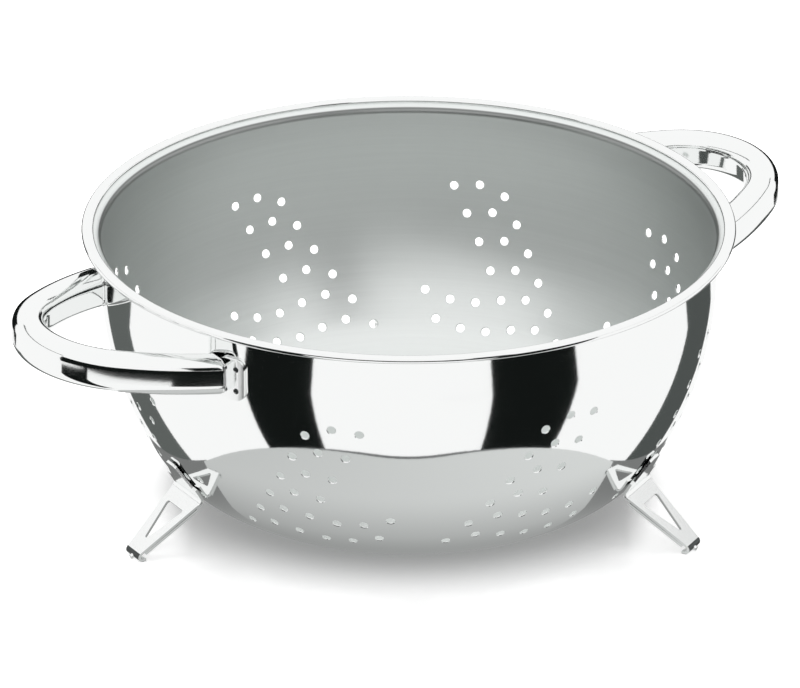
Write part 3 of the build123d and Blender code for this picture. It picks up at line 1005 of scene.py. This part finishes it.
def make_floor(size):
    """White floor that keeps the shadow, and the patches that the steel reflects in its place."""
    clear_selection()
    bpy.ops.mesh.primitive_plane_add(size=size.floor_size)
    floor = bpy.context.object
    floor.name = "floor"
    floor.data.materials.append(floor_material(size))
    floor.visible_glossy = False

    middle = (BOARD_NEAR + BOARD_FAR) / 2
    board = board_material()
    rim = glowing_material("board edge", (0.16, 0.165, 0.165))
    for name, shift, trim, height, material in (("board_edge", EDGE_SHIFT, EDGE_TRIM, 0.0001, rim),
                                                ("board", 0, 0, 0.0002, board)):
        patch = draw_patch(name, BOARD_NEAR + shift, BOARD_FAR + shift, BOARD_WIDTH - trim, height)
        pick_corners(patch, lambda place: place.x < middle)
        bpy.ops.transform.resize(value=(1, BOARD_TAPER, 1))
        pick_corners(patch, lambda place: place.x > middle)
        bpy.ops.mesh.bevel(affect="VERTICES", offset=BOARD_ROUND, segments=16)
        lay_patch(patch, size, material)
    patch = draw_patch("board_back", near=0.060, far=-0.020, width=0.224, height=0.00005)
    lay_patch(patch, size, shadow_material())


def make_light(size):
    """Even white surroundings and one large soft lamp overhead."""
    light_level = 0.55
    seen_level = 1.0
    world = bpy.context.scene.world or bpy.data.worlds.new("surroundings")
    bpy.context.scene.world = world
    world.use_nodes = True
    tree = world.node_tree
    back = tree.nodes["Background"]
    back.inputs["Color"].default_value = (1, 1, 1, 1)
    seen = add_node(tree, "ShaderNodeLightPath")
    either = maths(tree, "MAXIMUM", seen.outputs["Is Camera Ray"], seen.outputs["Is Glossy Ray"])
    either = maths(tree, "MAXIMUM", either, seen.outputs["Is Transmission Ray"])
    level = maths(tree, "MULTIPLY_ADD", either, seen_level - light_level, light_level)
    tree.links.new(level, back.inputs["Strength"])

    data = bpy.data.lights.new("overhead", "AREA")
    data.shape = "DISK"
    data.size = size.lamp_size
    data.energy = size.lamp_power
    lamp = bpy.data.objects.new("overhead", data)
    bpy.context.scene.collection.objects.link(lamp)
    lamp.location = size.lamp_place
    lamp.visible_glossy = False


def make_camera(size):
    """Camera at the photograph's angle."""
    data = bpy.data.cameras.new("camera")
    data.lens = size.camera_lens
    data.sensor_width = 36
    data.clip_start = 0.1
    camera = bpy.data.objects.new("camera", data)
    bpy.context.scene.collection.objects.link(camera)
    camera.location = size.camera_place
    aim = Vector(size.camera_aim) - Vector(size.camera_place)
    camera.rotation_euler = aim.to_track_quat("-Z", "Y").to_euler()
    bpy.context.scene.camera = camera


# Operators


class COLANDER_OT_finishes(bpy.types.Operator):
    """Build the steel finishes"""
    bl_idname = "colander.finishes"
    bl_label = "Steel finishes"

    def execute(self, context):
        make_finishes(context.scene.colander_finish)
        return {"FINISHED"}


class COLANDER_OT_bowl(bpy.types.Operator):
    """Spin the bowl with its rolled rim and punch its holes"""
    bl_idname = "colander.bowl"
    bl_label = "Bowl"

    def execute(self, context):
        size = context.scene.colander_bowl
        piece = draw_bowl(size)
        smooth(piece, limit=35, flats=False)
        punch_holes(piece, context.scene.colander_holes, size)
        finish_piece(piece, "bowl", "bowl_steel", "mirror steel", "satin steel")
        paint_bowl(piece, size)
        return {"FINISHED"}


class COLANDER_OT_handles(bpy.types.Operator):
    """Bend both hollow loop handles"""
    bl_idname = "colander.handles"
    bl_label = "Handles"

    def execute(self, context):
        size = context.scene.colander_handle
        right = draw_handle(size)
        left = copy_of(right, "left")
        edit(left)
        bpy.ops.transform.mirror(constraint_axis=(True, False, False), center_override=ORIGIN)
        bpy.ops.mesh.flip_normals()
        object_mode()
        for piece, node in zip((right, left), HANDLES):
            close_tube(piece, size)
            finish_piece(piece, node, "handle_steel", "tube steel")
        return {"FINISHED"}


class COLANDER_OT_brackets(bpy.types.Operator):
    """Soften and weld the four brackets that carry the handles"""
    bl_idname = "colander.brackets"
    bl_label = "Brackets"

    def execute(self, context):
        size = context.scene.colander_finish
        for node in BRACKETS:
            piece = softened_copy(node, size.sheet_edge)
            stamp_welds(piece, node, size, context.scene.colander_handle.turn)
            smooth(piece)
            finish_piece(piece, node, "bracket_steel", "pressed steel", "painted shade steel")
            # Painted shade in the weld dimples
            darken(piece, painted_weld_shade, size)
        return {"FINISHED"}


class COLANDER_OT_feet(bpy.types.Operator):
    """Soften the three bent sheet feet"""
    bl_idname = "colander.feet"
    bl_label = "Feet"

    def execute(self, context):
        size = context.scene.colander_finish
        for node in FEET:
            piece = softened_copy(node, size.sheet_edge)
            smooth(piece)
            finish_piece(piece, node, "foot_steel", "pressed steel", "painted shade steel")
            # Painted shade on the toes' bends
            darken(piece, toe_bend, size)
        return {"FINISHED"}


class COLANDER_OT_stage(bpy.types.Operator):
    """Set the floor, light, reflected cards and camera"""
    bl_idname = "colander.stage"
    bl_label = "Stage"

    def execute(self, context):
        size = context.scene.colander_stage
        make_floor(size)
        make_light(size)
        make_cards(size)
        make_camera(size)
        context.scene.view_settings.view_transform = "Standard"
        return {"FINISHED"}


class COLANDER_PT_panel(bpy.types.Panel):
    """Lists the colander's steps and sizes"""
    bl_label = "Colander"
    bl_idname = "COLANDER_PT_panel"
    bl_space_type = "VIEW_3D"
    bl_region_type = "UI"
    bl_category = "Colander"

    def draw(self, context):
        for operator in OPERATORS:
            self.layout.operator(operator.bl_idname)
        for name in SETTINGS:
            box = self.layout.box()
            group = getattr(context.scene, name)
            for field in group.__annotations__:
                box.prop(group, field)


OPERATORS = (COLANDER_OT_finishes, COLANDER_OT_bowl, COLANDER_OT_handles, COLANDER_OT_brackets,
             COLANDER_OT_feet, COLANDER_OT_stage)
SETTINGS = {"colander_bowl": BowlSettings, "colander_holes": HoleSettings,
            "colander_handle": HandleSettings, "colander_finish": FinishSettings,
            "colander_stage": StageSettings}


def register():
    for group in (*SETTINGS.values(), *OPERATORS, COLANDER_PT_panel):
        bpy.utils.register_class(group)
    for name, group in SETTINGS.items():
        setattr(bpy.types.Scene, name, bpy.props.PointerProperty(type=group))


def unregister():
    for name in SETTINGS:
        delattr(bpy.types.Scene, name)
    for group in (COLANDER_PT_panel, *reversed(OPERATORS), *reversed(SETTINGS.values())):
        bpy.utils.unregister_class(group)


def main():
    """Make every piece and the stage."""
    register()
    bpy.ops.colander.finishes()
    bpy.ops.colander.bowl()
    bpy.ops.colander.handles()
    bpy.ops.colander.brackets()
    bpy.ops.colander.feet()
    bpy.ops.colander.stage()


if __name__ == "__main__":
    main()
